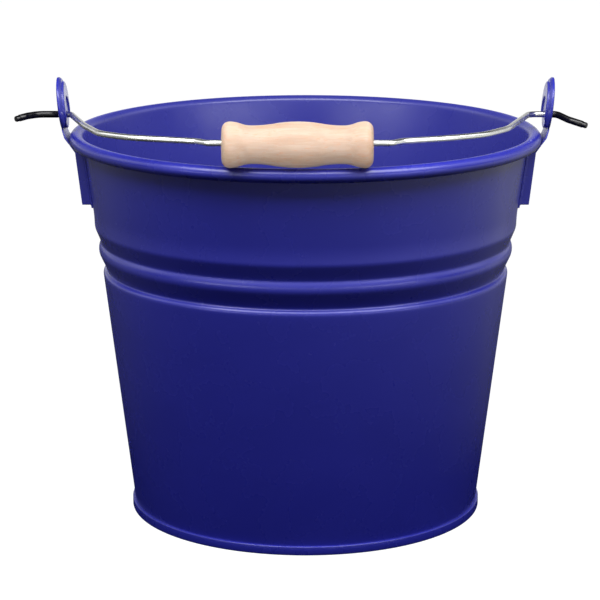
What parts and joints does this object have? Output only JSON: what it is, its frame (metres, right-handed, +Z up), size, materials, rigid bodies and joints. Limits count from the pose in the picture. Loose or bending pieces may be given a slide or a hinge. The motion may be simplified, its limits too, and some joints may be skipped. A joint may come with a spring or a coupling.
{
  "type": "pail with a bail handle",
  "caption": "Tapered round steel pail with a rolled rim, a grooved wall, pressed side ears and a swinging wire bail that carries a turned wooden grip.",
  "frame": {"origin": "middle of the foot ring, on the surface that the pail stands on", "axes": "+Z up along the pail's axis, +X from the left ear to the right ear, -Y the side that the bail is folded down to"},
  "size_m": [0.267, 0.2241, 0.2057],
  "materials": {
    "blue_paint": "gloss",
    "galvanised": "bright galvanised",
    "beech": "turned and lacquered",
    "black_sleeve": "gloss"
  },
  "bodies": {
    "pail": {"pail_wall": "blue_paint", "base_pan": "blue_paint", "rim_wire": "galvanised", "ear_left": "blue_paint", "ear_right": "blue_paint"},
    "bail": {"bail_wire": "galvanised", "sleeve_left": "black_sleeve", "sleeve_right": "black_sleeve"},
    "grip": {"grip": "beech"}
  },
  "joints": [
    {"name": "bail_swing", "type": "hinge", "parent": "pail", "child": "bail", "pos_m": [0, 0, 0.1883], "axis": [-1, 0, 0], "range_deg": [0, 176.48]},
    {"name": "grip_spin", "type": "hinge", "parent": "bail", "child": "grip", "pos_m": [-0.0034, -0.1042, 0.1915], "axis": [1, 0, 0], "continuous": true}
  ]
}
